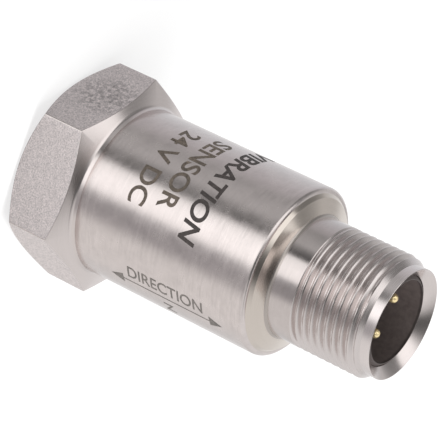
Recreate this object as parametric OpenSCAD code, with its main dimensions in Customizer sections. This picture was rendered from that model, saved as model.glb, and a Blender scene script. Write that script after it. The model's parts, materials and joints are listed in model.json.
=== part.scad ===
// Industrial vibration sensor: a piezo-electric accelerometer in a welded stainless case.
// Upright, +Z along the sensing axis, origin at the centre of the mounting face.
// A hexagon foot carries an isolated compression stack, a screening can and an amplifier board,
// closed by a sleeve and a turned connector with a coned shoulder, a thread and two contacts.

/* [Hexagon base] */
// Distance across the flats of the hexagon
hex_af = 25; // [24:0.1:30]
// Height of the hexagon at the middle of a flat
hex_flat_h = 8.4; // [7.6:0.1:12]
// Diameter of the flat mounting face
face_d = 23.8; // [20:0.1:24]
// Angle between the rear chamfer and the mounting face
rear_chamfer = 35; // [20:1:45]
// Angle between the front cone and the mounting face
front_chamfer = 24; // [15:1:35]
// Radius of the fillet between the front cone and the sleeve
foot_fillet = 0.8; // [0.3:0.1:1]
// Height of the spigot that enters the sleeve
spigot_h = 1.4; // [1:0.1:3]
// Bore of the tapped mounting hole, at the thread's minor diameter
stud_bore_d = 5.5; // [4:0.1:8]
// Depth of the full bore of the mounting hole
stud_depth = 6.4; // [4:0.1:7]
// Diameter of the countersink at the mounting hole's mouth
stud_mouth_d = 6.8; // [6:0.1:9]
// Angle of the drill point at the end of the mounting hole
drill_point = 118; // [100:1:140]

/* [Sleeve and shoulder] */
// Outside diameter of the sleeve
sleeve_d = 22.2; // [21:0.1:23]
// Wall of the sleeve
sleeve_wall = 1; // [0.6:0.1:1.6]
// Length of the sleeve between its two weld seams
sleeve_len = 25.7; // [24:0.1:40]
// Rounding of the sleeve's top edge at the weld seam
seam_round = 0.55; // [0.2:0.05:0.7]
// Width of the groove at the weld seam
seam_groove = 0.12; // [0.05:0.01:0.3]
// Slope of the shoulder's cone from the level
shoulder_slope = 21; // [10:1:40]
// Radius of the fillet between the shoulder and the neck
neck_fillet = 0.45; // [0.2:0.05:0.8]
// Depth of the shoulder's spigot inside the sleeve
shoulder_spigot_h = 1.3; // [0.8:0.1:2.5]

/* [Connector] */
// Major diameter of the coupling thread
thread_d = 15.875; // [14:0.125:17]
// Length of the coupling thread at its full diameter
thread_len = 8.3; // [7:0.1:14]
// Pitch of the coupling thread's ridges
thread_pitch = 1.058; // [0.8:0.002:1.6]
// Depth of the grooves between the ridges
thread_depth = 0.57; // [0.2:0.01:0.7]
// Height of the thread's start above the sleeve's top seam
neck_h = 4.85; // [4:0.05:9]
// Width of the run-out groove at the thread's start
runout_w = 0.45; // [0.3:0.05:0.8]
// Depth of the run-out groove
runout_depth = 0.3; // [0.2:0.05:0.5]
// Radial width of the bevel at the thread's end
end_bevel_w = 0.79; // [0.4:0.01:0.9]
// Angle of that bevel from the axis
end_bevel = 37; // [25:1:60]
// Length of the plain nose between the bevel and the mouth
nose_len = 1.32; // [0.8:0.01:2.5]
// Width of the broken edge at the nose's rim
rim_w = 0.05; // [0.02:0.01:0.12]
// Bore of the socket
socket_d = 11.8; // [10:0.1:12.4]
// Angle of the bevel inside the mouth from the axis
mouth_lead = 46; // [30:1:60]
// Bore of the shell behind the insert
tail_bore_d = 9.2; // [8:0.1:9.8]

/* [Insert and contacts] */
// Depth of the insert's face below the mouth's crest
insert_depth = 10.5; // [8:0.1:11.5]
// Thickness of the insert's floor
insert_floor = 3.6; // [2.5:0.1:4.2]
// Wall of the insert's collar that lines the socket
insert_wall = 0.45; // [0.3:0.05:0.8]
// Height of the collar's lip above the socket's edge
lip_rise = 0.25; // [0.05:0.05:0.3]
// Width of the flat on that lip
lip_w = 0.1; // [0.05:0.05:0.2]
// Diameter of the contacts
pin_d = 1.2; // [1:0.01:1.8]
// Distance between the two contacts
pin_pitch = 4.7; // [4:0.1:5.6]
// Direction of the contact pair about the axis
pin_angle = -17; // [-180:1:180]
// Depth of the contacts' tips below the mouth's crest
tip_depth = 2.15; // [2:0.05:5]
// Length of the contacts' solder tails behind the insert
tail_len = 1.8; // [1.5:0.1:2.5]
// Depth of the solder cup in a contact's tail
cup_depth = 1.4; // [0.8:0.1:1.4]

/* [Sensing stack] */
// Thickness of the ceramic disc that isolates the stack from the case
isolator_t = 0.8; // [0.5:0.1:1.5]
// Thickness of the stack's base plate
plate_t = 1.6; // [1:0.1:2.5]
// Diameter of the clamping post
post_d = 3; // [2.5:0.1:3.6]
// Wall of the sleeve that centres the rings on the post
liner_wall = 0.3; // [0.2:0.05:0.5]
// Outside diameter of the piezo rings
ring_d = 11; // [9:0.1:12]
// Thickness of each piezo ring
ring_t = 1.5; // [1:0.1:2]
// Thickness of the electrode between the rings
electrode_t = 0.2; // [0.1:0.05:0.3]
// Width of the electrode's solder tab
tab_w = 1.2; // [0.8:0.1:2]
// Outside diameter of the seismic mass
mass_d = 13; // [11:0.1:13.4]
// Height of the seismic mass
mass_h = 5; // [4:0.1:6]
// Thickness of the preload washer
washer_t = 0.5; // [0.3:0.1:0.8]
// Distance across the flats of the preload nut
nut_af = 5.5; // [5:0.1:7]
// Height of the preload nut
nut_h = 2; // [1.6:0.1:2.6]

/* [Screen, board and leads] */
// Wall of the screening can
shield_wall = 0.4; // [0.3:0.05:0.6]
// Room above the post inside the screening can
shield_room = 0.6; // [0.3:0.1:1.2]
// Wall of the plastic liner inside the sleeve
jacket_wall = 0.6; // [0.4:0.1:0.9]
// Gap between the screening can and the liner
jacket_gap = 0.65; // [0.2:0.05:0.8]
// Height of the liner above the screening can
jacket_rise = 0.4; // [0.2:0.1:1]
// Wall of the board carrier's rim
carrier_wall = 0.95; // [0.6:0.05:1.1]
// Width of the ledge that the board lies on
ledge_w = 1; // [0.6:0.1:1.2]
// Height of that ledge
ledge_h = 1.2; // [0.8:0.1:1.6]
// Thickness of the circuit board
board_t = 1; // [0.6:0.1:1.6]
// Diameter of the leads
lead_d = 0.6; // [0.4:0.05:0.7]
// Direction of the ground lead about the axis
ground_angle = 120; // [60:1:150]

/* [Fits] */
// Radial clearance between pieces that slide together before welding
slide_fit = 0.05; // [0.02:0.01:0.1]
// Radial clearance of a contact in the insert and of a lead in its solder cup
close_fit = 0.02; // [0.01:0.01:0.04]
// Radial room round a lead where it passes through a plate
lead_room = 0.35; // [0.2:0.05:0.5]

/* [Hidden] */
$fn = 96;
// Overlap of cutting tools past the faces that they cut
eps = 0.1;
// Depth by which a fillet's circle dips under the faces that it joins
cove_dip = 0.004;

// Radii of the case
hex_flat_r = hex_af / 2;
hex_corner_r = hex_flat_r / cos(30);
face_r = face_d / 2;
sleeve_r = sleeve_d / 2;
sleeve_ri = sleeve_r - sleeve_wall;
spigot_r = sleeve_ri - slide_fit;
// The foot's fillet stays on the cone between the sleeve and the middle of a flat
cone_share = 0.8;
foot_fillet_r = min(foot_fillet, (hex_flat_r - sleeve_r) * cone_share);

// A height rounded up to a whole micrometre, so that the pieces seated on it meet exactly
function whole_micron(z) = ceil(z * 1000) / 1000;

// Height of a fillet's upper end above the point where its cone meets its wall
function cove_h(slope, r) = r / cos(slope) - r * tan(slope);

// Levels of the base: the front cone passes through the middle of each flat's front edge
function rear_z(r) = (r - face_r) * tan(rear_chamfer);
function front_z(r) = hex_flat_h + (hex_flat_r - r) * tan(front_chamfer);
seam_z = whole_micron(front_z(sleeve_r) + cove_h(front_chamfer, foot_fillet_r));
base_top = seam_z + spigot_h;
stud_mouth_h = (stud_mouth_d - stud_bore_d) / 2;
drill_h = stud_bore_d / 2 / tan(drill_point / 2);

// Levels and radii of the shoulder: its cone passes through the sleeve's outer corner
top_seam_z = seam_z + sleeve_len;
shell_bottom = top_seam_z - shoulder_spigot_h;
shoulder_rim_r = sleeve_r - seam_round - seam_groove;
function shoulder_z(r) = top_seam_z + (sleeve_r - r) * tan(shoulder_slope);

// Levels and radii of the connector
thread_r = thread_d / 2;
thread_z = top_seam_z + neck_h;
thread_top = thread_z + thread_len;
// The ridges keep a narrow flat on their crests, and the grooves one at their roots
crest_share = 0.16;
root_share = 0.2;
thread_turns = round(thread_len / thread_pitch);
nose_r = thread_r - end_bevel_w;
nose_z = thread_top + end_bevel_w / tan(end_bevel);
mouth_r = nose_r - rim_w;
mouth_z = whole_micron(nose_z + nose_len);
socket_r = socket_d / 2;
socket_top = mouth_z - (mouth_r - socket_r) / tan(mouth_lead);
insert_top = mouth_z - insert_depth;
insert_z = insert_top - insert_floor;
insert_r = socket_r - slide_fit;
collar_ri = insert_r - insert_wall;
collar_top = socket_top + lip_rise;
pin_r = pin_d / 2;
pin_tip = mouth_z - tip_depth;
pin_bottom = insert_z - tail_len;

// Levels of the sensing stack, from the base upwards
plate_z = base_top + isolator_t;
ring_z = plate_z + plate_t;
electrode_z = ring_z + ring_t;
upper_ring_z = electrode_z + electrode_t;
mass_z = upper_ring_z + ring_t;
washer_z = mass_z + mass_h;
nut_z = washer_z + washer_t;
post_r = post_d / 2;
// The post's end stands out of the nut
post_rise = post_d / 5;
post_top = nut_z + nut_h + post_rise;

// Radii of the sensing stack
liner_ri = post_r + close_fit;
liner_ro = liner_ri + liner_wall;
bore_r = liner_ro + slide_fit;
washer_r = nut_af / 2 / cos(30) + liner_wall;

// Screen, liner and board
jacket_ro = sleeve_ri - slide_fit;
jacket_ri = jacket_ro - jacket_wall;
shield_ro = jacket_ri - jacket_gap;
shield_ri = shield_ro - shield_wall;
plate_r = shield_ri - slide_fit;
shield_top = post_top + shield_room + shield_wall;
jacket_top = shield_top + jacket_rise;
rim_ri = jacket_ro - carrier_wall;
ledge_ri = rim_ri - ledge_w;
board_r = rim_ri - slide_fit;
board_z = jacket_top + ledge_h;
board_top = board_z + board_t;

// Leads: the signal lead rises between the seismic mass and the screening can
lead_r = lead_d / 2;
signal_r = (mass_d / 2 + shield_ri) / 2;
signal_angle = pin_angle + 180;
// The ground lead stands between the board's middle and the ledge
ground_share = 0.65;
ground_r = ledge_ri * ground_share;

// Parts on the board, each as [x, y, width, depth, height] in the contacts' own directions
chip_h = 1.5;
board_parts = [[0, 4.2, 4.9, 3.9, chip_h], [0.4, -3.6, 3.5, 2.8, 1.9], [-4.9, -2.6, 2, 1.3, 0.6],
               [-4.9, -4.6, 2, 1.3, 0.6], [4.6, 1.6, 2, 1.3, 0.6], [4.9, -2.6, 2.6, 1.6, 1.1]];
// Legs of the amplifier chip
leg_count = 4;
leg_pitch = 1.1;
leg_w = 0.4;
leg_reach = 0.9;
leg_bend = 0.63;
leg_t = 0.2;

// Ring of a rectangular section
module tube(ro, ri, h) {
    difference() {
        cylinder(r = ro, h = h);
        translate([0, 0, -eps]) cylinder(r = ri, h = h + 2 * eps);
    }
}

// Places its children at one of the two contacts, side -1 or 1
module at_contact(side) {
    rotate(pin_angle) translate([side * pin_pitch / 2, 0, 0]) children();
}

// Hexagon foot with both chamfers, the filleted step, the spigot and the tapped hole
module hex_base() {
    color("silver")
    difference() {
        union() {
            intersection() {
                cylinder(r = hex_corner_r, h = base_top, $fn = 6);
                rotate_extrude() chamfer_section();
            }
            rotate_extrude() foot_section();
        }
        stud_hole();
    }
}

// Turned outline that cuts the hexagon's corners at both ends
module chamfer_section() {
    past_r = hex_corner_r + eps;
    polygon([[0, 0], [face_r, 0], [past_r, rear_z(past_r)], [past_r, front_z(past_r)],
             [sleeve_r, front_z(sleeve_r)], [0, front_z(sleeve_r)]]);
}

// Step up to the sleeve's seat, with the spigot above it
module foot_section() {
    step_z = hex_flat_h / 2;
    translate([0, step_z]) square([sleeve_r, seam_z - step_z]);
    translate([0, step_z]) square([spigot_r, base_top - step_z]);
    cove(sleeve_r, front_z(sleeve_r), front_chamfer, foot_fillet_r);
}

// Section of a concave fillet of radius r between an upright wall and a cone that falls outwards.
// Its circle dips under both faces a little, so that it crosses them instead of just touching.
module cove(wall_r, wall_z, slope, r) {
    top_z = wall_z + cove_h(slope, r);
    foot_r = wall_r + r * (1 - sin(slope));
    foot_z = top_z - r * cos(slope) - cove_dip;
    difference() {
        polygon([[wall_r - eps, wall_z - eps], [wall_r, wall_z - eps], [foot_r, foot_z],
                 [wall_r + r, top_z - cove_dip], [wall_r - eps, top_z - cove_dip]]);
        translate([wall_r + r - cove_dip, top_z - cove_dip]) circle(r = r);
    }
}

// Tapped hole from below: countersunk mouth, bore at the minor diameter and drill point
module stud_hole() {
    translate([0, 0, -eps]) cylinder(r = stud_bore_d / 2, h = stud_depth + eps);
    translate([0, 0, -eps])
        cylinder(r1 = stud_mouth_d / 2 + eps, r2 = stud_bore_d / 2, h = stud_mouth_h + eps);
    translate([0, 0, stud_depth]) cylinder(r1 = stud_bore_d / 2, r2 = 0, h = drill_h);
}

// Tube between the two weld seams, with a rounded top edge
module housing_sleeve() {
    color("silver")
    rotate_extrude()
    difference() {
        translate([sleeve_ri, seam_z]) square([sleeve_wall, sleeve_len]);
        translate([sleeve_r - seam_round, top_seam_z - seam_round])
            difference() {
                square(seam_round + eps);
                circle(r = seam_round);
            }
    }
}

// Turned connector body in one piece with the coned shoulder that closes the sleeve
module connector_shell() {
    color("gainsboro")
    rotate_extrude() {
        shell_section();
        cove(thread_r, shoulder_z(thread_r), shoulder_slope, neck_fillet);
    }
}

// Spigot, shoulder, neck, run-out groove, thread, bevel, nose, mouth and socket
module shell_section() {
    tail_r = tail_bore_d / 2;
    difference() {
        polygon([[tail_r, shell_bottom], [spigot_r, shell_bottom], [spigot_r, top_seam_z],
                 [shoulder_rim_r, top_seam_z], [shoulder_rim_r, shoulder_z(shoulder_rim_r)],
                 [thread_r, shoulder_z(thread_r)], [thread_r, thread_z - runout_w],
                 [thread_r - runout_depth, thread_z - runout_w / 2], [thread_r, thread_z],
                 [thread_r, thread_top], [nose_r, nose_z], [nose_r, mouth_z - rim_w],
                 [mouth_r, mouth_z], [socket_r, socket_top], [socket_r, insert_z],
                 [tail_r, insert_z]]);
        for (i = [0 : thread_turns - 1])
            translate([thread_r, thread_z + (i + 0.5) * thread_pitch]) thread_groove();
    }
}

// Section of one groove of the coupling thread, whose turns are drawn as level rings
module thread_groove() {
    root = thread_pitch * root_share / 2;
    mouth = thread_pitch * (1 - crest_share) / 2;
    polygon([[-thread_depth, -root], [0, -mouth], [eps, -mouth], [eps, mouth], [0, mouth],
             [-thread_depth, root]]);
}

// Black insulator: a floor that holds the contacts and a thin collar that lines the socket
module connector_insert() {
    color([0.12, 0.11, 0.1])
    difference() {
        rotate_extrude() insert_section();
        for (side = [-1, 1])
            at_contact(side) translate([0, 0, insert_z - eps])
                cylinder(r = pin_r + close_fit, h = insert_floor + 2 * eps);
    }
}

// Floor and collar, whose lip falls outwards to the socket's wall at half a right angle
module insert_section() {
    lip_r = collar_ri + lip_w;
    lip_foot = collar_top - (insert_r - lip_r);
    polygon([[0, insert_z], [insert_r, insert_z], [insert_r, lip_foot], [lip_r, collar_top],
             [collar_ri, collar_top], [collar_ri, insert_top], [0, insert_top]]);
}

// Contact with a domed tip and a solder cup in its tail
module contact_pin(side) {
    color("gold")
    at_contact(side)
    difference() {
        union() {
            translate([0, 0, pin_bottom]) cylinder(r = pin_r, h = pin_tip - pin_r - pin_bottom);
            translate([0, 0, pin_tip - pin_r]) sphere(r = pin_r);
        }
        translate([0, 0, pin_bottom - eps]) cylinder(r = lead_r + close_fit, h = cup_depth + eps);
    }
}

module contact_pin_a() {
    contact_pin(-1);
}

module contact_pin_b() {
    contact_pin(1);
}

// Ceramic disc that keeps the stack and its screen clear of the case
module base_insulator() {
    color("ivory")
    translate([0, 0, base_top]) cylinder(r = shield_ro, h = isolator_t);
}

// Plate that the rings stand on, with the clamping post
module stack_base() {
    color("darkgray") {
        translate([0, 0, plate_z]) cylinder(r = plate_r, h = plate_t);
        translate([0, 0, plate_z]) cylinder(r = post_r, h = post_top - plate_z);
    }
}

// Thin tube that centres the rings and the mass on the post
module insulating_sleeve() {
    color("khaki")
    translate([0, 0, ring_z]) tube(liner_ro, liner_ri, washer_z - ring_z - slide_fit);
}

module piezo_ring(z) {
    color("wheat")
    translate([0, 0, z]) tube(ring_d / 2, bore_r, ring_t);
}

module piezo_ring_lower() {
    piezo_ring(ring_z);
}

module piezo_ring_upper() {
    piezo_ring(upper_ring_z);
}

// Contact foil between the rings, with a tab under the signal lead
module electrode_ring() {
    color("goldenrod")
    translate([0, 0, electrode_z])
    difference() {
        union() {
            cylinder(r = ring_d / 2, h = electrode_t);
            rotate(signal_angle) translate([0, -tab_w / 2, 0]) cube([signal_r, tab_w, electrode_t]);
            rotate(signal_angle) translate([signal_r, 0, 0]) cylinder(r = tab_w / 2, h = electrode_t);
        }
        translate([0, 0, -eps]) cylinder(r = bore_r, h = electrode_t + 2 * eps);
    }
}

// Heavy ring that loads the crystals when the case shakes
module seismic_mass() {
    color("dimgray")
    translate([0, 0, mass_z]) tube(mass_d / 2, bore_r, mass_h);
}

module preload_washer() {
    color("lightgray")
    translate([0, 0, washer_z]) tube(washer_r, post_r + close_fit, washer_t);
}

module preload_nut() {
    color("lightgray")
    translate([0, 0, nut_z])
    difference() {
        cylinder(r = nut_af / 2 / cos(30), h = nut_h, $fn = 6);
        translate([0, 0, -eps]) cylinder(r = post_r + close_fit, h = nut_h + 2 * eps);
    }
}

// Drawn can that screens the stack, with a hole for the signal lead
module inner_shield() {
    color("tan")
    difference() {
        translate([0, 0, plate_z]) cylinder(r = shield_ro, h = shield_top - plate_z);
        translate([0, 0, plate_z - eps])
            cylinder(r = shield_ri, h = shield_top - shield_wall - plate_z + eps);
        rotate(signal_angle) translate([signal_r, 0, shield_top - shield_wall - eps])
            cylinder(r = lead_r + lead_room, h = shield_wall + 2 * eps);
    }
}

// Plastic liner between the screening can and the sleeve, which carries the board's carrier
module shield_insulator() {
    color("beige")
    translate([0, 0, base_top]) tube(jacket_ro, jacket_ri, jacket_top - base_top);
}

// Ring with a ledge under the board and a rim that the connector's spigot holds down
module board_carrier() {
    color("whitesmoke")
    rotate_extrude()
    polygon([[ledge_ri, jacket_top], [jacket_ro, jacket_top], [jacket_ro, shell_bottom],
             [rim_ri, shell_bottom], [rim_ri, board_z], [ledge_ri, board_z]]);
}

module circuit_board() {
    color("darkgreen")
    translate([0, 0, board_z]) cylinder(r = board_r, h = board_t);
}

// Amplifier chip with its legs, and the smaller parts around it
module board_components() {
    color("black")
    rotate(pin_angle) translate([0, 0, board_top]) {
        for (p = board_parts)
            translate([p[0] - p[2] / 2, p[1] - p[3] / 2, 0]) cube([p[2], p[3], p[4]]);
        chip_legs(board_parts[0]);
    }
}

// Two rows of legs that bend from the chip's sides down to the board
module chip_legs(chip) {
    for (row = [-1, 1], i = [0 : leg_count - 1])
        translate([chip[0] + (i - (leg_count - 1) / 2) * leg_pitch - leg_w / 2, chip[1], 0]) {
            mid = row * (chip[3] + leg_reach) / 2;
            foot = row * (chip[3] / 2 + leg_bend);
            translate([0, mid - leg_reach / 2, chip_h / 2]) cube([leg_w, leg_reach, leg_t]);
            translate([0, foot, 0]) cube([leg_w, leg_t, chip_h / 2 + leg_t]);
        }
}

// Wire from the electrode's tab up to the board
module signal_lead() {
    color("firebrick")
    rotate(signal_angle) translate([signal_r, 0, upper_ring_z])
        cylinder(r = lead_r, h = board_z - upper_ring_z);
}

// Wire from the screening can up to the board
module ground_lead() {
    color("seagreen")
    rotate(ground_angle) translate([ground_r, 0, shield_top])
        cylinder(r = lead_r, h = board_z - shield_top);
}

// Wire from the board into the solder cup of a contact
module pin_lead(side) {
    at_contact(side) translate([0, 0, board_top])
        cylinder(r = lead_r, h = pin_bottom + cup_depth - board_top);
}

module pin_lead_a() {
    color("firebrick") pin_lead(-1);
}

module pin_lead_b() {
    color("navy") pin_lead(1);
}

hex_base();
housing_sleeve();
connector_shell();
connector_insert();
contact_pin_a();
contact_pin_b();
base_insulator();
stack_base();
insulating_sleeve();
piezo_ring_lower();
electrode_ring();
piezo_ring_upper();
seismic_mass();
preload_washer();
preload_nut();
inner_shield();
shield_insulator();
board_carrier();
circuit_board();
board_components();
signal_lead();
ground_lead();
pin_lead_a();
pin_lead_b();
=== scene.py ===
"""Looks of an industrial vibration sensor: turned and blasted stainless steel, a coupling thread,
gold contacts in a black insert and dark etched lettering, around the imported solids."""

import json
import math

import bmesh
import bpy
from mathutils import Matrix, Vector


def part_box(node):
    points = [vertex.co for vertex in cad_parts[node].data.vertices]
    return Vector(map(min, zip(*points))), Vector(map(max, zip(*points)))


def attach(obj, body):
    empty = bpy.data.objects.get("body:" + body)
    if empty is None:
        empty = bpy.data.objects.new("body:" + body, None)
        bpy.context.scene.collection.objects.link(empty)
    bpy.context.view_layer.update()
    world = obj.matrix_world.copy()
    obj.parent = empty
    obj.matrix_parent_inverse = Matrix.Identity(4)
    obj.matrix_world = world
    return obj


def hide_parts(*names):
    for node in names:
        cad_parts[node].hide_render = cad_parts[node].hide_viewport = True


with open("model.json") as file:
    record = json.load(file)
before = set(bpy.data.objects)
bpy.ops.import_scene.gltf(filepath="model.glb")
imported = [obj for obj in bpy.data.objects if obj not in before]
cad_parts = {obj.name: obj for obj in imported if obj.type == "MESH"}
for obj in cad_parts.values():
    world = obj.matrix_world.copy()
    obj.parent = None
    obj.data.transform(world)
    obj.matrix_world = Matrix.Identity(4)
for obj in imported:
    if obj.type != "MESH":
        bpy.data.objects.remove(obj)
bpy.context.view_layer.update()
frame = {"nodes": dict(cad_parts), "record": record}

MM = 0.001
INCH = 25.4
BODY = "root"


# Sizes in millimetres, taken from the frame

def node_box(node):
    """Lowest and highest corner of a CAD node in millimetres."""
    low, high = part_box(node)
    return [c / MM for c in low], [c / MM for c in high]


def mount(name):
    """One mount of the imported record."""
    return next(m for m in frame["record"]["mounts"] if m["name"] == name)


HEX_HIGH = node_box("hex_base")[1]
SLEEVE_LOW, SLEEVE_HIGH = node_box("housing_sleeve")
SHELL_LOW, SHELL_HIGH = node_box("connector_shell")
INSERT_LOW, INSERT_HIGH = node_box("connector_insert")

HEX_FLAT_R = HEX_HIGH[1]
BASE_TOP = HEX_HIGH[2]
SLEEVE_R = SLEEVE_HIGH[0]
SEAM_Z = SLEEVE_LOW[2]
TOP_SEAM_Z = SLEEVE_HIGH[2]
SHELL_BOTTOM = SHELL_LOW[2]
MOUTH_Z = SHELL_HIGH[2]
SOCKET_FLOOR = INSERT_LOW[2]
LIP_Z = INSERT_HIGH[2]
THREAD_R = mount("coupling_thread")["dims"]["r_mm"]
STUD_R = mount("stud_hole")["dims"]["r_mm"]
STUD_WALL = mount("stud_hole")["dims"]["length_mm"]

# Sizes in millimetres that the boxes don't give, as in the solids
SLIDE_GAP = 0.05
SLEEVE_WALL = 1.0
HEX_FLAT_H = 8.4
FACE_R = 11.9
REAR_CHAMFER = math.radians(35)
FRONT_CHAMFER = math.radians(24)
FOOT_FILLET = 0.8
STUD_MOUTH_R = 3.4
STUD_MOUTH_H = STUD_MOUTH_R - STUD_R
DRILL_HALF_ANGLE = math.radians(59)
SEAM_ROUND = 0.55
SEAM_GROOVE = 0.12
SHOULDER_SLOPE = math.radians(21)
NECK_FILLET = 0.45
THREAD_LEN = 8.3
END_BEVEL_W = 0.79
END_BEVEL = math.radians(37)
NOSE_LEN = 1.32
MOUTH_LEAD = math.radians(46)
RIM_W = 0.05
SOCKET_R = INSERT_HIGH[0] + SLIDE_GAP
TAIL_R = 4.6
LIP_RISE = 0.25
PIN_R = 0.6
PIN_REACH = 2.35
PIN_ANGLE = math.radians(-17)

# Threads: lengths in millimetres, and the groove's form as shares of the pitch
COUPLING_PITCH = INCH / 24
STUD_PITCH = INCH / 28
COUPLING_PHASE = 0.2
THREAD_RUN_IN = 0.2
THREAD_DEPTH_SHARE = 0.54
CREST_SHARE = 0.06
ROOT_SHARE = 0.06
FLANK_CURVE = 0.5
# The mounting hole's thread beside the coupling thread: its depth share and its rows
STUD_DEPTH = 0.85
STUD_ROWS = 0.7

# Edge breaks in millimetres
HEX_EDGE_R = 0.22
CHAMFER_EDGE_R = 0.1
SEAM_EDGE_R = 0.03
MOUTH_EDGE_R = 0.05
RIM_CHAMFER = 0.42

# Steps of the turned meshes
TURN_STEPS = 240
ARC_STEPS = 6
COVE_STEPS = 8
SMALL_ARC_STEPS = 3
THREAD_ROWS = 24
SLEEVE_ROWS = 24
FLAT_STEPS = 26
EDGE_STEPS = 6
PIN_STEPS = 48
TIP_STEPS = 10
SHARP_EDGE = math.radians(28)
WELD_DISTANCE = 1e-7

# The photograph's camera: place in millimetres, axes in the part's frame, focal length in pixels
CAMERA_MM = (64.270, 263.096, 167.521)
CAMERA_RIGHT = (0.325583, -0.513238, 0.794092)
CAMERA_UP = (0.923187, -0.008873, -0.384248)
CAMERA_BACK = (0.204256, 0.858201, 0.470926)
FOCAL_PX = 2494.61
FRAME_PX = 444
SENSOR_MM = 36.0
CLIP_START = 0.01
CAMERA_AZ = math.atan2(CAMERA_MM[1], CAMERA_MM[0])


# Profiles

def arc(centre, radius, start, end, steps=ARC_STEPS):
    """Points on an arc in the profile plane, angles in radians."""
    points = []
    for i in range(steps + 1):
        a = start + (end - start) * i / steps
        points.append((centre[0] + radius * math.cos(a), centre[1] + radius * math.sin(a)))
    return points


def rounded_corner(before, corner, after, radius, steps=ARC_STEPS):
    """Points that replace a profile's corner by a tangent arc of the given radius."""
    c = Vector(corner)
    u = (Vector(before) - c).normalized()
    v = (Vector(after) - c).normalized()
    half = math.acos(max(-1.0, min(1.0, u.dot(v)))) / 2
    reach = radius / math.tan(half)
    centre = c + (u + v).normalized() * (radius / math.sin(half))
    p, q = c + u * reach, c + v * reach
    start = math.atan2(p.y - centre.y, p.x - centre.x)
    turn = math.atan2(q.y - centre.y, q.x - centre.x) - start
    turn = (turn + math.pi) % (2 * math.pi) - math.pi
    return arc(centre, radius, start, start + turn, steps)


def cove(wall_r, wall_z, slope, radius):
    """Concave fillet from a cone that falls outwards up to an upright wall."""
    top = wall_z + radius / math.cos(slope) - radius * math.tan(slope)
    return arc((wall_r + radius, top), radius, -math.pi / 2 - slope, -math.pi, COVE_STEPS)


def thread_cut(phase):
    """Depth share of a thread's groove, 0 on the crest and 1 on the root, for a phase of 0 to 1."""
    away = abs((phase % 1.0) - 0.5) * 2
    flank = (1 - away - CREST_SHARE) / (1 - CREST_SHARE - ROOT_SHARE)
    share = max(0.0, min(1.0, flank))
    curved = share * share * (3 - 2 * share)
    return curved * FLANK_CURVE + share * (1 - FLANK_CURVE)


# Meshes

def placed(name, data):
    """A new object of the scene from its mesh, curve, light or camera."""
    piece = bpy.data.objects.new(name, data)
    bpy.context.collection.objects.link(piece)
    return piece


def turned(name, columns, angles):
    """A closed turned mesh: columns[j] is the closed profile, as (r, z) points, at angles[j]."""
    rows = len(columns[0])
    count = len(angles)
    verts = [(r * math.cos(a) * MM, r * math.sin(a) * MM, z * MM)
             for a, column in zip(angles, columns) for r, z in column]
    faces = []
    for j in range(count):
        k = (j + 1) % count
        for i in range(rows):
            n = (i + 1) % rows
            faces.append((j * rows + i, k * rows + i, k * rows + n, j * rows + n))
    mesh = bpy.data.meshes.new(name)
    mesh.from_pydata(verts, [], faces)
    bm = bmesh.new()
    bm.from_mesh(mesh)
    bmesh.ops.remove_doubles(bm, verts=bm.verts, dist=WELD_DISTANCE)
    bmesh.ops.recalc_face_normals(bm, faces=bm.faces)
    bm.to_mesh(mesh)
    bm.free()
    for polygon in mesh.polygons:
        polygon.use_smooth = True
    mesh.set_sharp_from_angle(angle=SHARP_EDGE)
    return placed(name, mesh)


def even_angles(count=TURN_STEPS):
    """Angles of a full turn in equal steps."""
    return [2 * math.pi * j / count for j in range(count)]


def finish_piece(piece, slot, nodes, *materials):
    """Materials, body and the CAD nodes that the piece stands for; slot is not used."""
    for material in materials:
        piece.data.materials.append(material)
    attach(piece, BODY)
    if nodes:
        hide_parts(*nodes)


# Node helpers for the materials and the world

# Span that most of a noise's values lie in, and its middle
NOISE_SPAN = (0.3, 0.7)
NOISE_MIDDLE = 0.5
# Sockets of a mix node that is set to colours
MIX_SHARE, MIX_FIRST, MIX_SECOND, MIX_RESULT = 0, 6, 7, 2


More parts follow.
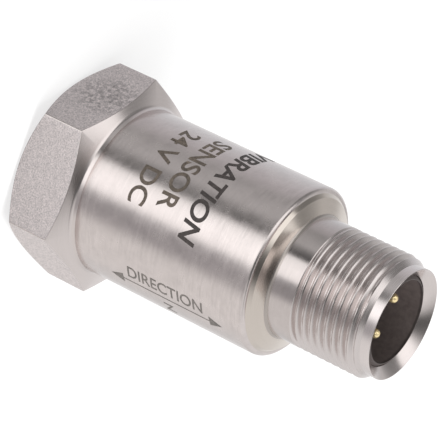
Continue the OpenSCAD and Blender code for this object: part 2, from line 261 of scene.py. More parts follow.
class Graph:
    """Short calls for the nodes of one material or world."""

    def __init__(self, tree):
        self.nodes = tree.nodes
        self.links = tree.links

    def feed(self, socket, value, plain):
        """Sets a socket to a plain value, or links it where the value isn't of the plain kinds."""
        if isinstance(value, plain):
            socket.default_value = value
        else:
            self.links.new(value, socket)

    def ranged(self, value, low, high, start=NOISE_SPAN[0], end=NOISE_SPAN[1], smooth=False):
        """A value mapped from start..end to low..high."""
        node = self.nodes.new("ShaderNodeMapRange")
        if smooth:
            node.interpolation_type = "SMOOTHSTEP"
        node.inputs["From Min"].default_value = start
        node.inputs["From Max"].default_value = end
        node.inputs["To Min"].default_value = low
        node.inputs["To Max"].default_value = high
        self.links.new(value, node.inputs["Value"])
        return node.outputs["Result"]

    def math(self, operation, a, b=0.0):
        """A math node on two sockets, or on a socket and a number."""
        node = self.nodes.new("ShaderNodeMath")
        node.operation = operation
        for socket, value in zip(node.inputs, (a, b)):
            self.feed(socket, value, (int, float))
        return node.outputs["Value"]

    def weighted(self, *terms):
        """Sum of outputs times their weights."""
        total = None
        for output, weight in terms:
            term = self.math("MULTIPLY", output, weight)
            total = self.math("ADD", total, term) if total else term
        return total

    def mix(self, share, first, second):
        """Two colours, as sockets or as plain values, mixed by a share."""
        node = self.nodes.new("ShaderNodeMix")
        node.data_type = "RGBA"
        self.links.new(share, node.inputs[MIX_SHARE])
        self.feed(node.inputs[MIX_FIRST], first, tuple)
        self.feed(node.inputs[MIX_SECOND], second, tuple)
        return node.outputs[MIX_RESULT]

    def ramp(self, value, stops):
        """A colour ramp with (place, colour) stops."""
        node = self.nodes.new("ShaderNodeValToRGB")
        elements = node.color_ramp.elements
        while len(elements) < len(stops):
            elements.new(0.5)
        for element, (place, colour) in zip(elements, stops):
            element.position = place
            element.color = (*colour, 1.0)
        self.links.new(value, node.inputs["Fac"])
        return node.outputs["Color"]

    def split(self, vector):
        """The three parts of a vector."""
        node = self.nodes.new("ShaderNodeSeparateXYZ")
        self.links.new(vector, node.inputs["Vector"])
        return [node.outputs[axis] for axis in "XYZ"]


def tone(colour, factor):
    """A colour times a factor."""
    return tuple(min(1.0, c * factor) for c in colour)


class Shader(Graph):
    """Small builder for one procedural material."""

    def __init__(self, name):
        self.material = bpy.data.materials.new(name)
        self.material.use_nodes = True
        super().__init__(self.material.node_tree)
        self.bsdf = self.nodes["Principled BSDF"]
        self.place = self.nodes.new("ShaderNodeTexCoord").outputs["Object"]

    def stretched(self, scale):
        """Object coordinates times a scale for each axis, in features per metre."""
        mapping = self.nodes.new("ShaderNodeMapping")
        mapping.inputs["Scale"].default_value = scale
        self.links.new(self.place, mapping.inputs["Vector"])
        return mapping.outputs["Vector"]

    def noise(self, scale, detail=3.0, rough=0.55):
        """Noise over its usual span; scale is one number or one for each axis."""
        texture = self.nodes.new("ShaderNodeTexNoise")
        texture.inputs["Detail"].default_value = detail
        texture.inputs["Roughness"].default_value = rough
        if isinstance(scale, tuple):
            texture.inputs["Scale"].default_value = 1.0
            self.links.new(self.stretched(scale), texture.inputs["Vector"])
        else:
            texture.inputs["Scale"].default_value = scale
            self.links.new(self.place, texture.inputs["Vector"])
        return texture.outputs["Fac"]

    def near(self, place_mm, core_mm, reach_mm):
        """Share that falls from 1 within a core round a point to 0 at the reach."""
        node = self.nodes.new("ShaderNodeVectorMath")
        node.operation = "DISTANCE"
        node.inputs[1].default_value = [c * MM for c in place_mm]
        self.links.new(self.place, node.inputs[0])
        distance = node.outputs["Value"]
        return self.ranged(distance, 1.0, 0.0, core_mm * MM, reach_mm * MM, smooth=True)

    def shades(self, value, colour, low, high):
        """A colour times low to high over the span of a noise."""
        factors = zip(NOISE_SPAN, (low, high))
        return self.ramp(value, [(place, tone(colour, factor)) for place, factor in factors])

    def colour(self, output):
        """Links the surface's colour."""
        self.links.new(output, self.bsdf.inputs["Base Color"])

    def gloss(self, value, rough, low, high):
        """Roughness times low to high over the span of a noise."""
        varied = self.ranged(value, rough * low, rough * high)
        self.links.new(varied, self.bsdf.inputs["Roughness"])

    def bump(self, height, strength, depth):
        """Bump of a height of 0 to 1, with its depth in metres."""
        node = self.nodes.new("ShaderNodeBump")
        node.inputs["Strength"].default_value = strength
        node.inputs["Distance"].default_value = depth
        self.links.new(height, node.inputs["Height"])
        self.links.new(node.outputs["Normal"], self.bsdf.inputs["Normal"])

    def set(self, **values):
        """Constant values on the surface's own sockets."""
        for name, value in values.items():
            self.bsdf.inputs[name.replace("_", " ")].default_value = value


# Finishes

# Scales of the noises, in features per metre
TURNING_LINES = 9000.0
THREAD_LINES = 14000.0
LINES_ROUND = 90.0
BANDS_ROUND = 40.0
LINES_PER_BAND = 9
CLOUDS = 260.0
BRUSH_MARKS = (320.0, 320.0, 2600.0)
BRUSH_PATCHES = 150.0
SMUDGES = 560.0
BLAST_GRAIN = 5200.0
BLAST_MOTTLE = 1700.0
FINE_GRAIN = 1800.0
PLATING_GRAIN = 4000.0
ETCH_SPECKLE = 3600.0
FINE_PER_BROAD = 8
# Depths of the bumps in metres
TURNING_DEPTH = 0.00002
HANDLING_DEPTH = 0.00001
BLAST_DEPTH = 0.00003
GRAIN_DEPTH = 0.00001
# Share of the brush marks in and between their patches, and the noise values where a patch starts
PATCH_SHARES = (0.1, 0.9)
PATCH_EDGE = (0.42, 0.62)
SMUDGE_WEIGHT = 0.7
# Tones of the blasted grain, by its value
BLAST_TONES = [(0.1, 0.42), (0.4, 0.77), (0.62, 1.22)]
# The rubbed spot on the flat above the lettering: middle, core and reach in millimetres,
# the mottle values that it shows in and how dark it is
RUBBED_SPOT = (11.1, 5.8, 5.2)
RUBBED_CORE = 1.68
RUBBED_REACH = 4.8
RUBBED_EDGE = (0.36, 0.56)
RUBBED_DARK = 0.28
# Where the painted shade on the insert's lip starts, in rises of the lip below its top
LIP_SHADE_START = 1.6


def turned_steel(name, colour, rough, streak=0.05, lines=TURNING_LINES):
    """Stainless steel with fine turning lines round the Z axis and faint clouds of handling."""
    s = Shader(name)
    fine = s.noise((LINES_ROUND, LINES_ROUND, lines), detail=2.0, rough=0.6)
    bands = s.noise((BANDS_ROUND, BANDS_ROUND, lines / LINES_PER_BAND))
    mixed = s.weighted((fine, 0.5), (bands, 0.3), (s.noise(CLOUDS, detail=4.0), 0.2))
    s.colour(s.shades(mixed, colour, low=1 - streak, high=1 + streak))
    s.gloss(mixed, rough, low=0.8, high=1.2)
    s.bump(mixed, strength=0.12, depth=TURNING_DEPTH)
    s.set(Metallic=1.0)
    return s.material


def handled_steel(name, colour, rough, streak):
    """Turned steel with short brush marks round the Z axis in patches, and smudges of handling."""
    s = Shader(name)
    marks = s.noise(BRUSH_MARKS, detail=4.0, rough=0.7)
    patches = s.ranged(s.noise(BRUSH_PATCHES, detail=2.0), *PATCH_SHARES, *PATCH_EDGE)
    smudges = s.noise(SMUDGES, detail=5.0, rough=0.65)
    brushed = s.math("MULTIPLY", s.math("SUBTRACT", marks, NOISE_MIDDLE), patches)
    brushed = s.math("ADD", brushed, NOISE_MIDDLE * (1 - SMUDGE_WEIGHT))
    mixed = s.math("ADD", brushed, s.math("MULTIPLY", smudges, SMUDGE_WEIGHT))
    s.colour(s.shades(mixed, colour, low=1 - streak, high=1 + streak))
    s.gloss(smudges, rough, low=0.8, high=1.2)
    s.bump(smudges, strength=0.5, depth=HANDLING_DEPTH)
    s.set(Metallic=1.0)
    return s.material


def blasted_steel(name, colour, rough):
    """Milled and blasted steel: fine bright grain, and a rubbed spot on one flat."""
    s = Shader(name)
    grain = s.noise(BLAST_GRAIN, detail=2.0, rough=0.7)
    mottle = s.noise(BLAST_MOTTLE, detail=4.0, rough=0.75)
    spots = s.math("MULTIPLY", s.near(RUBBED_SPOT, RUBBED_CORE, RUBBED_REACH),
                   s.ranged(mottle, 1.0, 0.0, *RUBBED_EDGE))
    mixed = s.math("SUBTRACT", s.weighted((grain, 0.7), (mottle, 0.3)),
                   s.math("MULTIPLY", spots, RUBBED_DARK))
    s.colour(s.ramp(mixed, [(place, tone(colour, factor)) for place, factor in BLAST_TONES]))
    s.gloss(mottle, rough, low=0.9, high=1.15)
    s.bump(grain, strength=0.5, depth=BLAST_DEPTH)
    s.set(Metallic=1.0)
    return s.material


def grained(name, colour, rough, metallic=0.0, scale=FINE_GRAIN, spread=0.12):
    """A plain moulded, plated or fired surface with fine colour and gloss variation."""
    s = Shader(name)
    fine = s.noise(scale, detail=4.0)
    mixed = s.weighted((fine, 0.6), (s.noise(scale / FINE_PER_BROAD, detail=2.0), 0.4))
    s.colour(s.shades(mixed, colour, low=1 - spread, high=1 + spread))
    s.gloss(mixed, rough, low=0.85, high=1.15)
    s.bump(fine, strength=0.2, depth=GRAIN_DEPTH)
    s.set(Metallic=metallic)
    return s.material


def insert_black(name, colour, rough):
    """Black moulding with painted shade that darkens its raised lip."""
    s = Shader(name)
    height = s.split(s.place)[2]
    # Painted shade: the colour turns darker from below the lip up to its top
    painted_lip_shade = s.ranged(height, 0.0, 1.0, (LIP_Z - LIP_RISE * LIP_SHADE_START) * MM,
                   (LIP_Z - LIP_RISE) * MM)
    fine = s.noise(FINE_GRAIN, detail=4.0)
    body = s.shades(fine, colour, low=0.8, high=1.2)
    shade = s.shades(fine, colour, low=0.4, high=0.55)
    s.colour(s.mix(painted_lip_shade, body, shade))
    s.gloss(fine, rough, low=0.85, high=1.15)
    s.bump(fine, strength=0.2, depth=GRAIN_DEPTH)
    return s.material


STEEL = (0.67, 0.61, 0.593)
BRIGHT_STEEL = (0.69, 0.63, 0.612)

sleeve_steel = handled_steel("sleeve_steel", STEEL, 0.24, streak=0.1)
cone_steel = turned_steel("cone_steel", STEEL, 0.2, streak=0.04)
mouth_steel = turned_steel("mouth_steel", BRIGHT_STEEL, 0.2, streak=0.03)
nose_steel = turned_steel("nose_steel", (0.73, 0.672, 0.66), 0.26, streak=0.05)
shoulder_steel = turned_steel("shoulder_steel", (0.635, 0.572, 0.518), 0.17, streak=0.03)
neck_steel = handled_steel("neck_steel", (0.585, 0.533, 0.517), 0.17, streak=0.06)
thread_steel = turned_steel("thread_steel", (0.67, 0.616, 0.601), 0.26, streak=0.06,
                            lines=THREAD_LINES)
# Painted shade: a darker steel colour on the concave fillet at the neck's foot
foot_painted_shade_steel = turned_steel("foot_painted_shade_steel", (0.47, 0.425, 0.395), 0.3, streak=0.08)
hex_steel = blasted_steel("hex_steel", (0.81, 0.746, 0.735), 0.5)
gold = grained("contact_gold", (0.95, 0.77, 0.44), 0.25, metallic=0.82, scale=PLATING_GRAIN,
               spread=0.06)
black_insert = insert_black("insert_black", (0.112, 0.091, 0.086), 0.5)
etch_dark = grained("etch_dark", (0.045, 0.036, 0.033), 0.6, scale=ETCH_SPECKLE, spread=0.45)
etch_brown = grained("etch_brown", (0.1, 0.078, 0.06), 0.6, scale=ETCH_SPECKLE, spread=0.6)
etch_grey = grained("etch_grey", (0.13, 0.115, 0.105), 0.6, scale=ETCH_SPECKLE, spread=0.4)


# Hexagon base

HEX_TURN = math.pi / 3
HEX_HALF = math.pi / 6
# Half of the angle that a broken corner edge takes up; its half width and its drop below the sharp
# corner are shares of its radius
EDGE_HALF_WIDTH = 0.5
EDGE_DROP = 0.27
HEX_EDGE_HALF = math.atan2(HEX_EDGE_R * EDGE_HALF_WIDTH,
                           HEX_FLAT_R / math.cos(HEX_HALF) - HEX_EDGE_R * EDGE_DROP)
# Most that an upright face's normal may rise
UPRIGHT = 0.2


def from_corner(angle):
    """Angle from the nearest corner of the hexagon."""
    return (angle + HEX_HALF) % HEX_TURN - HEX_HALF


def hex_radius(angle):
    """Distance from the axis to the hexagon's wall, with its corner edges broken."""
    off = from_corner(angle)
    centre = (HEX_FLAT_R - HEX_EDGE_R) / math.cos(HEX_HALF)
    if abs(off) <= HEX_EDGE_HALF:
        return centre * math.cos(off) + math.sqrt(HEX_EDGE_R ** 2 - (centre * math.sin(off)) ** 2)
    return HEX_FLAT_R / math.cos(HEX_HALF - abs(off))


def hex_angles():
    """Angles round the hexagon, close together at its corner edges."""
    flat = HEX_TURN - 2 * HEX_EDGE_HALF
    angles = []
    for corner in range(6):
        middle = corner * HEX_TURN
        angles += [middle + HEX_EDGE_HALF * (2 * i / EDGE_STEPS - 1) for i in range(EDGE_STEPS + 1)]
        angles += [middle + HEX_EDGE_HALF + flat * i / FLAT_STEPS for i in range(1, FLAT_STEPS)]
    return angles


def front_z(r):
    """Height of the hexagon's front cone."""
    return HEX_FLAT_H + (HEX_FLAT_R - r) * math.tan(FRONT_CHAMFER)


def rear_z(r):
    """Height of the hexagon's rear chamfer."""
    return (r - FACE_R) * math.tan(REAR_CHAMFER)


def stud_wall(angle):
    """Tapped wall of the mounting hole from its inner end to its mouth."""
    rows = int(STUD_WALL / STUD_PITCH * THREAD_ROWS * STUD_ROWS)
    depth = STUD_PITCH * THREAD_DEPTH_SHARE * STUD_DEPTH
    points = []
    for i in range(rows + 1):
        z = STUD_MOUTH_H + STUD_WALL * (1 - i / rows)
        cut = thread_cut(z / STUD_PITCH - angle / (2 * math.pi))
        fade = min(1.0, (STUD_MOUTH_H + STUD_WALL - z) / STUD_PITCH)
        points.append((STUD_R + cut * fade * depth, z))
    return points


def hex_column(angle):
    """Closed profile of the base at one angle."""
    wall = hex_radius(angle)
    drill_top = STUD_MOUTH_H + STUD_WALL + STUD_R / math.tan(DRILL_HALF_ANGLE)
    rear = (wall, rear_z(wall))
    front = (wall, front_z(wall))
    foot = cove(SLEEVE_R, front_z(SLEEVE_R), FRONT_CHAMFER, FOOT_FILLET)
    spigot = SLEEVE_R - SLEEVE_WALL
    column = [(0.0, drill_top)] + stud_wall(angle) + [(STUD_MOUTH_R, 0.0)]
    column += rounded_corner((STUD_MOUTH_R, 0.0), (FACE_R, 0.0), rear, CHAMFER_EDGE_R)
    column += rounded_corner((FACE_R, 0.0), rear, front, CHAMFER_EDGE_R)
    column += rounded_corner(rear, front, foot[0], CHAMFER_EDGE_R)
    column += foot
    column += [(SLEEVE_R, SEAM_Z - SEAM_EDGE_R)]
    column += arc((SLEEVE_R - SEAM_EDGE_R, SEAM_Z - SEAM_EDGE_R), SEAM_EDGE_R, 0.0, math.pi / 2,
                  SMALL_ARC_STEPS)
    column += [(spigot, SEAM_Z), (spigot, BASE_TOP), (0.0, BASE_TOP)]
    return column


def hex_base():
    """The base, with blasted flats and turned ends."""
    angles = hex_angles()
    piece = turned("sensor_hex_base", [hex_column(a) for a in angles], angles)
    finish_piece(piece, "hex_steel", ["hex_base"], hex_steel, cone_steel)
    for polygon in piece.data.polygons:
        x, y = polygon.center.x, polygon.center.y
        upright = abs(polygon.normal.z) < UPRIGHT
        outside = math.hypot(x, y) > (SLEEVE_R + FOOT_FILLET) * MM
        on_flat = abs(from_corner(math.atan2(y, x))) > HEX_EDGE_HALF
        polygon.material_index = 0 if upright and outside and on_flat else 1


# Sleeve

def housing_sleeve():
    """The turned tube between the weld seams."""
    inner = SLEEVE_R - SLEEVE_WALL
    start, end = SEAM_Z + SEAM_EDGE_R, TOP_SEAM_Z - SEAM_ROUND
    column = [(inner, SEAM_Z)]
    column += arc((SLEEVE_R - SEAM_EDGE_R, start), SEAM_EDGE_R, -math.pi / 2, 0.0, SMALL_ARC_STEPS)
    column += [(SLEEVE_R, start + (end - start) * i / SLEEVE_ROWS) for i in range(1, SLEEVE_ROWS)]
    column += arc((SLEEVE_R - SEAM_ROUND, end), SEAM_ROUND, 0.0, math.pi / 2)
    column += [(inner, TOP_SEAM_Z)]
    angles = even_angles()
    piece = turned("sensor_sleeve", [column] * len(angles), angles)
    finish_piece(piece, "sleeve_steel", ["housing_sleeve"], sleeve_steel)


# Connector

NOSE_R = THREAD_R - END_BEVEL_W
NOSE_Z = MOUTH_Z - NOSE_LEN
THREAD_TOP = NOSE_Z - END_BEVEL_W / math.tan(END_BEVEL)
THREAD_Z = THREAD_TOP - THREAD_LEN
THREAD_START = THREAD_Z - THREAD_RUN_IN
MOUTH_R = NOSE_R - RIM_W


def shoulder_z(r):
    """Height of the shoulder's cone."""
    return TOP_SEAM_Z + (SLEEVE_R - r) * math.tan(SHOULDER_SLOPE)


NECK_FOOT = cove(THREAD_R, shoulder_z(THREAD_R), SHOULDER_SLOPE, NECK_FILLET)


def coupling_wall(angle):
    """Threaded wall from the neck to the foot of the nose, cut back by the end bevel."""
    rows = int((NOSE_Z - THREAD_Z) / COUPLING_PITCH * THREAD_ROWS)
    depth = COUPLING_PITCH * THREAD_DEPTH_SHARE
    points = []
    for i in range(rows):
        z = THREAD_START + (NOSE_Z - THREAD_START) * i / rows
        phase = (z - COUPLING_PHASE) / COUPLING_PITCH - angle / (2 * math.pi)
        fade = min(1.0, (z - THREAD_START) / (2 * THREAD_RUN_IN))
        bevel = THREAD_R - max(0.0, z - THREAD_TOP) * math.tan(END_BEVEL)
        thread = max(THREAD_R - thread_cut(phase) * depth * fade, NOSE_R)
        points.append((min(thread, bevel), z))
    return points


def shell_column(angle):
    """Closed profile of the connector's body at one angle."""
    spigot = SLEEVE_R - SLEEVE_WALL - SLIDE_GAP
    rim = (SLEEVE_R - SEAM_ROUND - SEAM_GROOVE, TOP_SEAM_Z)
    rim_top = (rim[0] - RIM_CHAMFER, shoulder_z(rim[0] - RIM_CHAMFER))
    nose_top = (NOSE_R, MOUTH_Z - RIM_W)
    mouth = (MOUTH_R, MOUTH_Z)
    socket_top = (SOCKET_R, MOUTH_Z - (MOUTH_R - SOCKET_R) / math.tan(MOUTH_LEAD))
    socket_end = (SOCKET_R, SOCKET_FLOOR)
    column = [(TAIL_R, SHELL_BOTTOM), (spigot, SHELL_BOTTOM), (spigot, TOP_SEAM_Z), rim]
    column += rounded_corner(rim, rim_top, NECK_FOOT[0], MOUTH_EDGE_R, SMALL_ARC_STEPS)
    column += NECK_FOOT
    column += coupling_wall(angle)
    column += [(NOSE_R, NOSE_Z), nose_top]
    column += rounded_corner(nose_top, mouth, socket_top, MOUTH_EDGE_R, SMALL_ARC_STEPS)
    column += rounded_corner(mouth, socket_top, socket_end, MOUTH_EDGE_R, SMALL_ARC_STEPS)
    column += [socket_end, (TAIL_R, SOCKET_FLOOR)]
    return column


def connector_shell():
    """The turned connector body with its right-hand coupling thread."""
    angles = even_angles()
    piece = turned("sensor_connector_shell", [shell_column(a) for a in angles], angles)
    finish_piece(piece, "connector_steel", ["connector_shell"],
                 mouth_steel, shoulder_steel, foot_painted_shade_steel, neck_steel, thread_steel, nose_steel)
    levels = [z * MM for z in (NECK_FOOT[0][1], NECK_FOOT[-1][1], THREAD_START, NOSE_Z)]
    for polygon in piece.data.polygons:
        reach = math.hypot(polygon.center.x, polygon.center.y)
        outside = reach > (NOSE_R - RIM_W / 2) * MM
        passed = sum(polygon.center.z > level for level in levels)
        polygon.material_index = 1 + passed if outside else 0


def contact(node, side):
    """A gold contact with a domed tip, turned about its own axis."""
    low, high = node_box(node)
    x, y = side * PIN_REACH * math.cos(PIN_ANGLE), side * PIN_REACH * math.sin(PIN_ANGLE)
    tip = arc((0.0, high[2] - PIN_R), PIN_R, 0.0, math.pi / 2, TIP_STEPS)
    column = [(0.0, low[2]), (PIN_R, low[2])] + tip
    angles = even_angles(PIN_STEPS)
    piece = turned("sensor_" + node, [column] * len(angles), angles)
    for vertex in piece.data.vertices:
        vertex.co.x += x * MM
        vertex.co.y += y * MM
    finish_piece(piece, "contact_gold", [node], gold)


# Etched lettering and the direction arrow, laid on the sleeve

# Height above the sleeve and width of the strips that follow its curve, in millimetres
ETCH_RISE = 0.012
ETCH_STEP = 0.35
# Height of the font's capitals as a share of its size
CAP_SHARE = 0.69


def laid_on_sleeve(name, bm, along, azimuth, height, finish):
    """Wraps a flat mesh, in millimetres, on the sleeve. along is 'round' or 'axis'."""
    radius = SLEEVE_R + ETCH_RISE
    reach = max(max(abs(v.co.x), abs(v.co.y)) for v in bm.verts)
    normal = Vector((1, 0, 0)) if along == "round" else Vector((0, 1, 0))
    steps = int(reach / ETCH_STEP) + 1
    for k in range(-steps, steps + 1):
        parts = bm.verts[:] + bm.edges[:] + bm.faces[:]
        bmesh.ops.bisect_plane(bm, geom=parts, plane_co=normal * (k * ETCH_STEP), plane_no=normal)
    bmesh.ops.triangulate(bm, faces=bm.faces)
    for v in bm.verts:
        x, y = v.co.x, v.co.y
        if along == "round":
            turn, z = azimuth + x / SLEEVE_R, height + y
        else:
            turn, z = azimuth - y / SLEEVE_R, height + x
        v.co = Vector((radius * math.cos(turn), radius * math.sin(turn), z)) * MM
    mesh = bpy.data.meshes.new(name)
    bm.to_mesh(mesh)
    bm.free()
    finish_piece(placed(name, mesh), "sleeve_steel", [], finish)


def lettering(name, words, cap, along, azimuth, height, finish, bold, shear=0.0, align="CENTER",
              width=1.0):
    """Flat lettering of a given capital height in millimetres, wrapped on the sleeve."""
    curve = bpy.data.curves.new(name, "FONT")
    curve.body = words
    curve.size = cap / CAP_SHARE
    curve.offset = bold
    curve.shear = shear
    curve.align_x = align
    source = placed(name + "_flat", curve)
    flat = source.evaluated_get(bpy.context.evaluated_depsgraph_get()).to_mesh()
    bm = bmesh.new()
    bm.from_mesh(flat)
    bpy.data.objects.remove(source)
    bmesh.ops.scale(bm, vec=(width, 1, 1), verts=bm.verts)
    bmesh.ops.translate(bm, vec=(0, -cap / 2, 0), verts=bm.verts)
    laid_on_sleeve(name, bm, along, azimuth, height, finish)


def arrow(name, length, head_len, head_w, line_w, azimuth, height):
    """Double-headed arrow along the sensing axis."""
    bm = bmesh.new()
    end, shaft = length / 2, length / 2 - head_len
    outlines = [[(-shaft, -line_w / 2), (shaft, -line_w / 2),
                 (shaft, line_w / 2), (-shaft, line_w / 2)]]
    for side in (-1, 1):
        outlines.append([(side * end, 0), (side * shaft, side * head_w / 2),
                         (side * shaft, -side * head_w / 2)])
    for outline in outlines:
        bm.faces.new([bm.verts.new((x, y, 0)) for x, y in outline])
    laid_on_sleeve(name, bm, "axis", azimuth, height, etch_grey)


def markings():
    """Generic wording and the double arrow, where the sleeve is etched."""
    def turn(degrees):
        return CAMERA_AZ + math.radians(degrees)

    block = {"cap": 2.4, "along": "round", "align": "RIGHT", "width": 1.05}
    lettering("mark_line_1", "VIBRATION", azimuth=turn(13), height=25.45, finish=etch_dark,
              bold=0.08, shear=0.18, **block)
    lettering("mark_line_2", "SENSOR", azimuth=turn(0), height=21.0, finish=etch_brown,
              bold=0.06, **block)
    lettering("mark_line_3", "24 V DC", azimuth=turn(6), height=17.0, finish=etch_brown,
              bold=0.06, **block)
    axis = {"cap": 1.75, "along": "axis", "height": 23.5, "finish": etch_grey, "bold": 0.02}
    lettering("mark_axis_upper", "DIRECTION", azimuth=turn(52.6), width=0.88, **axis)
    lettering("mark_axis_lower", "Z", azimuth=turn(72), **axis)
    arrow("mark_arrow", length=17.0, head_len=1.9, head_w=1.7, line_w=0.17, azimuth=turn(61.5),
          height=axis["height"])


# Finishes of the solids that stay as they are

def dress_nodes():
    """Procedural finishes for the insert and for the pieces inside the sealed case."""
    finishes = {
        "connector_insert": black_insert,
        "base_insulator": grained("ceramic_white", (0.86, 0.84, 0.78), 0.3),
        "stack_base": turned_steel("stack_steel", (0.56, 0.56, 0.56), 0.3),
        "insulating_sleeve": grained("amber_film", (0.6, 0.36, 0.08), 0.25),
        "piezo_ring_lower": grained("piezo_ceramic", (0.5, 0.44, 0.3), 0.55),
        "electrode_ring": grained("electrode_brass", (0.75, 0.56, 0.24), 0.3, metallic=1.0),
        "seismic_mass": turned_steel("mass_metal", (0.3, 0.3, 0.31), 0.35),
        "inner_shield": grained("shield_brass", (0.72, 0.58, 0.32), 0.3, metallic=1.0),
        "shield_insulator": grained("liner_plastic", (0.82, 0.79, 0.7), 0.45),
        "circuit_board": grained("board_green", (0.02, 0.14, 0.05), 0.3),
        "board_components": grained("component_black", (0.03, 0.03, 0.032), 0.5),
        "signal_lead": grained("lead_red", (0.45, 0.03, 0.025), 0.35),
        "ground_lead": grained("lead_green", (0.04, 0.25, 0.08), 0.35),
        "pin_lead_b": grained("lead_blue", (0.03, 0.06, 0.3), 0.35),
    }
    shared = {"piezo_ring_upper": "piezo_ring_lower", "preload_washer": "stack_base",
              "preload_nut": "stack_base", "board_carrier": "shield_insulator",
              "pin_lead_a": "signal_lead"}
    for node, like in shared.items():
        finishes[node] = finishes[like]
    for node, material in finishes.items():
        for material_slot in frame["nodes"][node].material_slots:
            material_slot.material = material


# Studio. A direction is told by its azimuth from the camera's, and by the shares of it that go
# toward the camera, across its line of sight and upward.

# Light from below the horizon, by degrees of azimuth: the bands on every upright wall
SURROUND = [(-180, (0.92, 0.93, 0.95)), (-140, (0.76, 0.78, 0.81)), (-104, (0.61, 0.6, 0.62)),
            (-90, (0.52, 0.51, 0.52)), (-82, (0.41, 0.41, 0.41)), (-66, (0.5, 0.5, 0.5)),
            (-50, (0.6, 0.6, 0.6)), (-41, (0.33, 0.33, 0.33)), (-30, (0.1, 0.1, 0.1)),
            (-25.5, (0.18, 0.18, 0.18)), (-20.5, (1.36, 1.37, 1.37)), (0, (1.55, 1.55, 1.55)),
            (14, (1.46, 1.46, 1.46)), (21, (0.57, 0.57, 0.58)), (30, (0.42, 0.41, 0.42)),
            (46, (0.44, 0.43, 0.44)), (60, (0.9, 0.89, 0.88)), (110, (0.91, 0.9, 0.89)),
            (145, (0.78, 0.78, 0.78)), (180, (0.91, 0.92, 0.94))]
# Light from overhead, by the share across: softbox, gap and fill
OVERHEAD = [(-1.0, 1.4), (-0.36, 1.38), (-0.28, 1.22), (-0.2, 0.84), (-0.1, 0.4), (0.0, 0.18),
            (0.1, 0.13), (0.2, 0.1), (0.29, 0.1), (0.36, 0.18), (0.54, 0.7), (0.7, 0.92),
            (1.0, 0.9)]
# Light behind the softbox, on its own side, by the share toward the camera
BESIDE = [(-1.0, 0.62), (-0.84, 0.62), (-0.73, 0.66), (-0.69, 0.54), (-0.61, 0.4), (-0.5, 0.3),
          (-0.34, 0.24), (0.0, 0.24), (1.0, 0.24)]
# The softbox's lower edge, by the upward share plus this much of the share toward the camera
SOFTBOX_SLANT = 0.305
SOFTBOX_EDGE = (0.69, 0.73)
# Where the light from overhead takes over on the right, by the share across
RIGHT_SIDE = (0.0, 0.3)
# Bright fill at the back of the right side, by azimuth
FILL_EDGE = (math.radians(104), math.radians(130))
FILL_COLOUR = (0.9, 0.9, 0.9, 1.0)
# The plain background behind the object, which metal shows too, by azimuth to either side
BACKGROUND_EDGE = (math.radians(145), math.radians(175))
# Where the ground's light gives way to the light above, by the upward share; higher in front
HORIZON = (0.05, 0.3)
FRONT_RISE = 0.6
# Dark ground close under the object, by the upward share
NADIR = (-0.79, -0.62)
NADIR_LEVEL = 0.4
WHITE = (1.0, 1.0, 1.0, 1.0)
FLOOR_SIZE = 3.0
FLOOR_COLOUR = (0.93, 0.93, 0.93, 1.0)
FLOOR_ROUGH = 0.9
# Share of plain white in what the camera sees of the floor, which leaves a faint shadow
FLOOR_WHITE = 0.7


def world_light():
    """Studio surround for lighting and reflections, with plain white for what the camera sees
    past the floor and for what metal mirrors of the background behind the object."""
    world = bpy.data.worlds.new("studio")
    bpy.context.scene.world = world
    world.use_nodes = True
    g = Graph(world.node_tree)
    g.nodes.clear()
    turn = g.nodes.new("ShaderNodeVectorRotate")
    turn.rotation_type = "Z_AXIS"
    turn.inputs["Angle"].default_value = -CAMERA_AZ
    g.links.new(g.nodes.new("ShaderNodeTexCoord").outputs["Generated"], turn.inputs["Vector"])
    toward, across, up = g.split(turn.outputs["Vector"])
    azimuth = g.math("ARCTAN2", across, toward)

    def share(value, edge):
        return g.ranged(value, 0.0, 1.0, *edge, smooth=True)

    def by_share(value, stops):
        return g.ramp(g.ranged(value, 0.0, 1.0, -1.0, 1.0),
                      [(place / 2 + 0.5, (level,) * 3) for place, level in stops])

    below = g.ramp(g.ranged(azimuth, 0.0, 1.0, -math.pi, math.pi),
                   [(degrees / 360 + 0.5, colour) for degrees, colour in SURROUND])
    lift = g.math("ADD", up, g.math("MULTIPLY", toward, SOFTBOX_SLANT))
    from_overhead = g.math("MAXIMUM", share(lift, SOFTBOX_EDGE), share(across, RIGHT_SIDE))
    above = g.mix(from_overhead, by_share(toward, BESIDE), by_share(across, OVERHEAD))
    above = g.mix(share(azimuth, FILL_EDGE), above, FILL_COLOUR)
    rise = g.math("MULTIPLY", g.math("MAXIMUM", toward, 0.0), FRONT_RISE)
    level = g.math("SUBTRACT", up, rise)
    surround = g.mix(share(level, HORIZON), below, above)
    strength = g.ranged(up, NADIR_LEVEL, 1.0, *NADIR, smooth=True)

    behind = share(g.math("ABSOLUTE", azimuth), BACKGROUND_EDGE)
    behind = g.math("MULTIPLY", behind, g.ranged(level, 1.0, 0.0, *HORIZON, smooth=True))
    behind = g.math("MULTIPLY", behind, share(up, NADIR))
    ray = g.nodes.new("ShaderNodeLightPath").outputs
    mirrored = g.math("MAXIMUM", ray["Is Glossy Ray"], ray["Is Transmission Ray"])
    plain = g.math("MAXIMUM", ray["Is Camera Ray"], g.math("MULTIPLY", mirrored, behind))

    studio = g.nodes.new("ShaderNodeBackground")
    g.links.new(surround, studio.inputs["Color"])
    g.links.new(strength, studio.inputs["Strength"])
    white = g.nodes.new("ShaderNodeBackground")
    white.inputs["Color"].default_value = WHITE
    pick = g.nodes.new("ShaderNodeMixShader")
    g.links.new(plain, pick.inputs["Fac"])
    g.links.new(studio.outputs["Background"], pick.inputs[1])
    g.links.new(white.outputs["Background"], pick.inputs[2])
    output = g.nodes.new("ShaderNodeOutputWorld")
    g.links.new(pick.outputs["Shader"], output.inputs["Surface"])


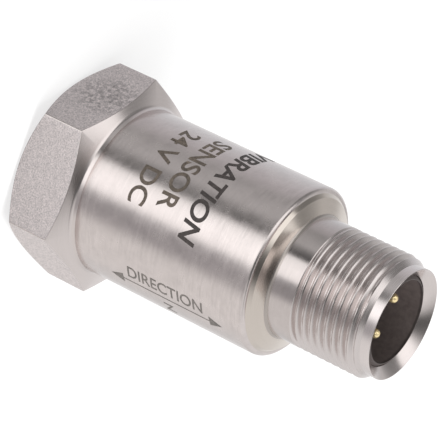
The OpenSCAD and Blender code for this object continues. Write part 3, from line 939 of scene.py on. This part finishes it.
def floor():
    """Pale floor under the mounting face; mirror images show the world in its place."""
    mesh = bpy.data.meshes.new("floor")
    h = FLOOR_SIZE / 2
    mesh.from_pydata([(-h, -h, 0), (h, -h, 0), (h, h, 0), (-h, h, 0)], [], [(0, 1, 2, 3)])
    piece = placed("floor", mesh)
    s = Shader("floor_pale")
    s.set(Base_Color=FLOOR_COLOUR, Roughness=FLOOR_ROUGH)
    seen = s.nodes.new("ShaderNodeLightPath").outputs["Is Camera Ray"]
    white = s.nodes.new("ShaderNodeEmission")
    pick = s.nodes.new("ShaderNodeMixShader")
    s.links.new(s.math("MULTIPLY", seen, FLOOR_WHITE), pick.inputs["Fac"])
    s.links.new(s.bsdf.outputs["BSDF"], pick.inputs[1])
    s.links.new(white.outputs["Emission"], pick.inputs[2])
    s.links.new(pick.outputs["Shader"], s.nodes["Material Output"].inputs["Surface"])
    mesh.materials.append(s.material)
    piece.visible_glossy = False


def lamp(name, place_mm, target_mm, size_mm, power):
    """Square soft lamp aimed at a point, kept out of mirror images."""
    data = bpy.data.lights.new(name, "AREA")
    data.size = size_mm * MM
    data.energy = power
    piece = placed(name, data)
    place, target = Vector(place_mm) * MM, Vector(target_mm) * MM
    piece.location = place
    piece.rotation_euler = (target - place).to_track_quat("-Z", "Y").to_euler()
    piece.visible_glossy = False


def camera():
    """The photograph's camera, rolled as there."""
    data = bpy.data.cameras.new("camera")
    data.sensor_fit = "HORIZONTAL"
    data.sensor_width = SENSOR_MM
    data.lens = FOCAL_PX * SENSOR_MM / FRAME_PX
    data.clip_start = CLIP_START
    piece = placed("camera", data)
    axes = Matrix((CAMERA_RIGHT, CAMERA_UP, CAMERA_BACK)).transposed().to_4x4()
    piece.matrix_world = Matrix.Translation(Vector(CAMERA_MM) * MM) @ axes
    bpy.context.scene.camera = piece


camera()
hex_base()
housing_sleeve()
connector_shell()
contact("contact_pin_a", -1)
contact("contact_pin_b", 1)
markings()
dress_nodes()
world_light()
floor()
lamp("top_lamp", place_mm=(-250, 150, 700), target_mm=(0, 0, 20), size_mm=500, power=6.0)
bpy.context.scene.view_settings.view_transform = "Standard"
